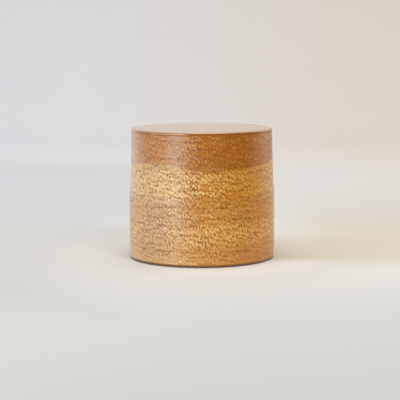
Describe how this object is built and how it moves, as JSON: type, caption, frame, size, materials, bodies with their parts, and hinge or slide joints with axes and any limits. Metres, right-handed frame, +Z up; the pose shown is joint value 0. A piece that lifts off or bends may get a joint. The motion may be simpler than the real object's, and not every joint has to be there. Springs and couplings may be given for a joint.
{
  "type": "ceramic garden stool",
  "caption": "Hollow glazed stoneware drum stool with a flat round seat, a nearly straight collar over a gently bellied wall, and rubber pads under an open foot.",
  "frame": {"origin": "on the floor, at the middle of the stool's foot", "axes": "+Z up along the drum's axis, X and Y level"},
  "size_m": [0.454, 0.4538, 0.405],
  "materials": {
    "amber_glaze": "gloss",
    "bare_stoneware": "matte",
    "pad_rubber": "matte"
  },
  "bodies": {
    "root": {"seat_slab": "amber_glaze", "collar_ring": "amber_glaze", "belly_ring": "amber_glaze", "foot_slab": "bare_stoneware", "seat_coil": "bare_stoneware", "joint_band": "bare_stoneware", "foot_coil": "bare_stoneware", "floor_pad_1": "pad_rubber", "floor_pad_2": "pad_rubber", "floor_pad_3": "pad_rubber", "floor_pad_4": "pad_rubber", "floor_pad_5": "pad_rubber", "floor_pad_6": "pad_rubber"}
  },
  "joints": []
}
